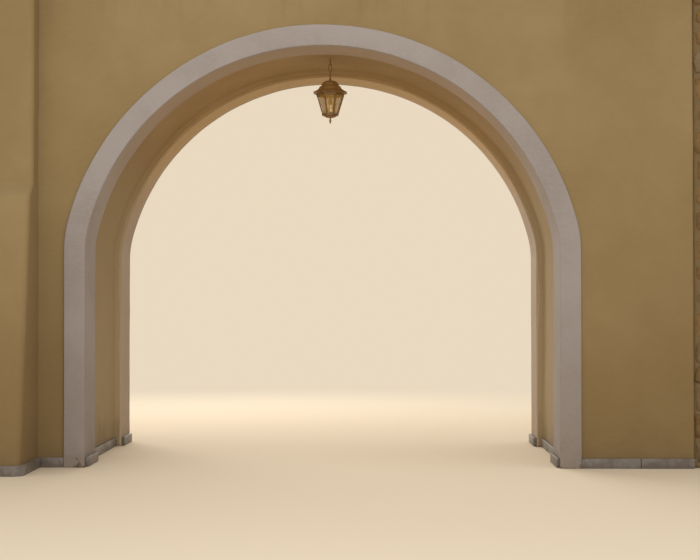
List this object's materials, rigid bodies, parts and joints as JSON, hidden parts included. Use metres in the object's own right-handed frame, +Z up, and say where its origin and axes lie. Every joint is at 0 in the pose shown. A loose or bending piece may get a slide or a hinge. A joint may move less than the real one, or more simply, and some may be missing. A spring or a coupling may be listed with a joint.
{
  "type": "arched moon gate",
  "caption": "Rendered masonry gateway with white arch surrounds, a short vaulted passage, sloping buttress, rough stone pier and a lantern hanging on a chain.",
  "frame": {"origin": "at ground level, in the middle of the passage: half-way between the white jambs and half-way between the two faces of the wall", "axes": "+X along the wall towards the stone pier, +Y through the passage from the front face to the back face, +Z up"},
  "size_m": [5.194, 2.35, 2.99],
  "materials": {
    "ochre_render": "matt lime paint on hand-floated render",
    "passage_render": "matt lime paint on rough render",
    "white_plaster": "matt white limewash, worn at the foot",
    "marble": "honed grey-white marble",
    "field_stone": "rough rubble stone in lime mortar",
    "lime_screed": "matt lime screed",
    "dark_bronze": "worn bronze paint, satin",
    "lantern_pane": "clear, slightly hazy glass",
    "ivory_holder": "ivory glaze",
    "bulb_glass": "frosted glass"
  },
  "bodies": {
    "masonry": {"front_wall_left": "ochre_render", "front_wall_right": "ochre_render", "front_wall_head": "ochre_render", "back_wall_left": "ochre_render", "back_wall_right": "ochre_render", "back_wall_head": "ochre_render", "passage_side_left": "passage_render", "passage_side_right": "passage_render", "passage_vault": "passage_render", "roof_screed": "lime_screed", "coping_front": "marble", "coping_back": "marble", "coping_left_end": "marble", "stone_pier": "field_stone", "stone_pier_cap": "marble", "buttress_front": "ochre_render", "buttress_back": "ochre_render", "buttress_cap_front": "marble", "buttress_cap_back": "marble", "front_jamb_left": "white_plaster", "front_jamb_right": "white_plaster", "front_arch_ring": "white_plaster", "back_jamb_left": "white_plaster", "back_jamb_right": "white_plaster", "back_arch_ring": "white_plaster", "skirting_front_left": "marble", "skirting_front_right": "marble", "skirting_back_left": "marble", "skirting_back_right": "marble", "skirting_buttress_front": "marble", "skirting_buttress_back": "marble", "skirting_front_reveals": "marble", "skirting_back_reveals": "marble", "skirting_passage": "marble", "vault_hook": "dark_bronze"},
    "chain": {"chain_long_link": "dark_bronze"},
    "lantern": {"chain_short_link": "dark_bronze", "lantern_loop": "dark_bronze", "lantern_cap": "dark_bronze", "lantern_frame": "dark_bronze", "lantern_glass": "lantern_pane", "lantern_bowl": "dark_bronze", "lamp_holder": "ivory_holder", "lamp_bulb": "bulb_glass"}
  },
  "joints": [
    {"name": "chain_side_swing", "type": "hinge", "parent": "masonry", "child": "chain", "pos_m": [0.025, 0, 2.42773], "axis": [0, 1, 0], "range_deg": [-30, 30]},
    {"name": "lantern_fore_swing", "type": "hinge", "parent": "chain", "child": "lantern", "pos_m": [0.025, 0, 2.38803], "axis": [1, 0, 0], "range_deg": [-30, 30]}
  ]
}
